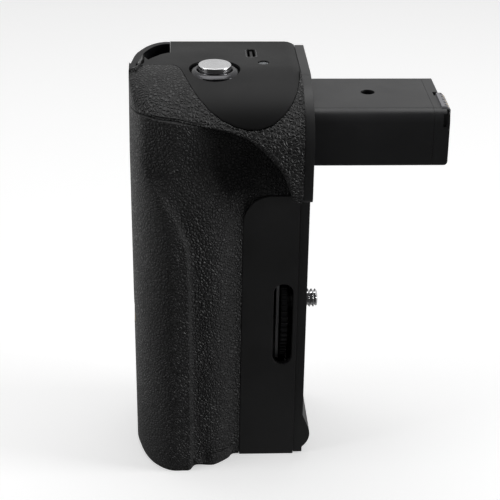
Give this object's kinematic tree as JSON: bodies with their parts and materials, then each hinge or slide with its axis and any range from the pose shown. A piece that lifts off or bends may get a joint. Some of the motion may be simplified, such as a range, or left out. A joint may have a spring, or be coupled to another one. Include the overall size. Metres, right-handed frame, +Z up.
{
  "type": "camera battery grip",
  "caption": "Battery grip with textured hand grip, shutter button, battery-bay arm, camera screw with thumbwheel and a foot-end battery door.",
  "frame": {"origin": "where the camera screw's axis meets the face that the camera rests on", "axes": "+Z up the grip towards the shutter button, +X out of the seating face towards the camera, +Y away from the viewer"},
  "size_m": [0.1009, 0.0548, 0.1346],
  "materials": {
    "textured_rubber": "matt leather grain",
    "textured_plastic": "fine leather grain",
    "satin_plastic": "satin",
    "arm_plastic": "smooth matt",
    "inner_plastic": "moulded",
    "gloss_black": "gloss",
    "pale_plastic": "satin",
    "brushed_metal": "brushed",
    "bright_steel": "nickel plated",
    "steel": "plain",
    "black_screw": "blackened",
    "brass": "plain",
    "gold_contact": "plated",
    "green_board": "lacquered board",
    "ribbon": "flexible film",
    "lamp": "frosted"
  },
  "bodies": {
    "grip": {"front_shell": "inner_plastic", "rear_shell": "textured_plastic", "grip_rubber": "textured_rubber", "front_panel": "satin_plastic", "shoulder_cover": "textured_plastic", "top_cover": "satin_plastic", "foot_frame": "satin_plastic", "seating_plate": "satin_plastic", "arm_shell": "arm_plastic", "arm_end_block": "arm_plastic", "contact_block": "pale_plastic", "arm_contacts": "gold_contact", "arm_ribbon": "ribbon", "wheel_carrier": "steel", "wheel_axle": "steel", "shutter_collar": "brushed_metal", "shutter_spring": "steel", "shutter_switch": "inner_plastic", "control_board": "green_board", "port_shell": "bright_steel", "port_tongue": "inner_plastic", "indicator_lens": "lamp", "strap_well": "inner_plastic", "strap_bar": "gloss_black", "battery_box": "inner_plastic", "battery_contacts": "gold_contact", "contact_board": "green_board", "board_ribbon": "ribbon", "door_pin": "steel", "power_switch": "inner_plastic", "thumb_rest": "textured_rubber", "tripod_insert": "brass", "case_screws": "black_screw", "plate_screws": "black_screw"},
    "shutter": {"shutter_cap": "brushed_metal", "shutter_stem": "steel"},
    "power_slider": {"power_knob": "satin_plastic"},
    "attachment_screw": {"thumbwheel": "brushed_metal", "camera_screw": "bright_steel"},
    "door": {"battery_door": "satin_plastic"},
    "latch": {"door_latch": "satin_plastic"},
    "left_catch": {"catch_left": "satin_plastic"},
    "right_catch": {"catch_right": "satin_plastic"}
  },
  "joints": [
    {"name": "shutter_press", "type": "slide", "parent": "grip", "child": "shutter", "axis": [0, 0, -1], "range_m": [0, 0.0009], "stiffness_N_per_m": 800, "springref_m": -0.001, "deforming": ["shutter_spring"]},
    {"name": "power_slide", "type": "slide", "parent": "grip", "child": "power_slider", "axis": [1, 0, 0], "range_m": [0, 0.004]},
    {"name": "screw_turn", "type": "hinge", "parent": "grip", "child": "attachment_screw", "pos_m": [0, 0, 0], "axis": [1, 0, 0], "continuous": true},
    {"name": "door_swing", "type": "hinge", "parent": "grip", "child": "door", "pos_m": [-0.0296, 0.0189, -0.0482], "axis": [1, 0, 0], "range_deg": [0, 95]},
    {"name": "latch_slide", "type": "slide", "parent": "door", "child": "latch", "axis": [0, 1, 0], "range_m": [0, 0.0022], "stiffness_N_per_m": 300, "springref_m": -0.0015},
    {"name": "left_catch_slide", "type": "slide", "parent": "grip", "child": "left_catch", "axis": [0, 1, 0], "range_m": [0, 0.001], "stiffness_N_per_m": 300, "springref_m": -0.001},
    {"name": "right_catch_slide", "type": "slide", "parent": "grip", "child": "right_catch", "axis": [0, 1, 0], "range_m": [0, 0.001], "stiffness_N_per_m": 300, "springref_m": -0.001}
  ]
}
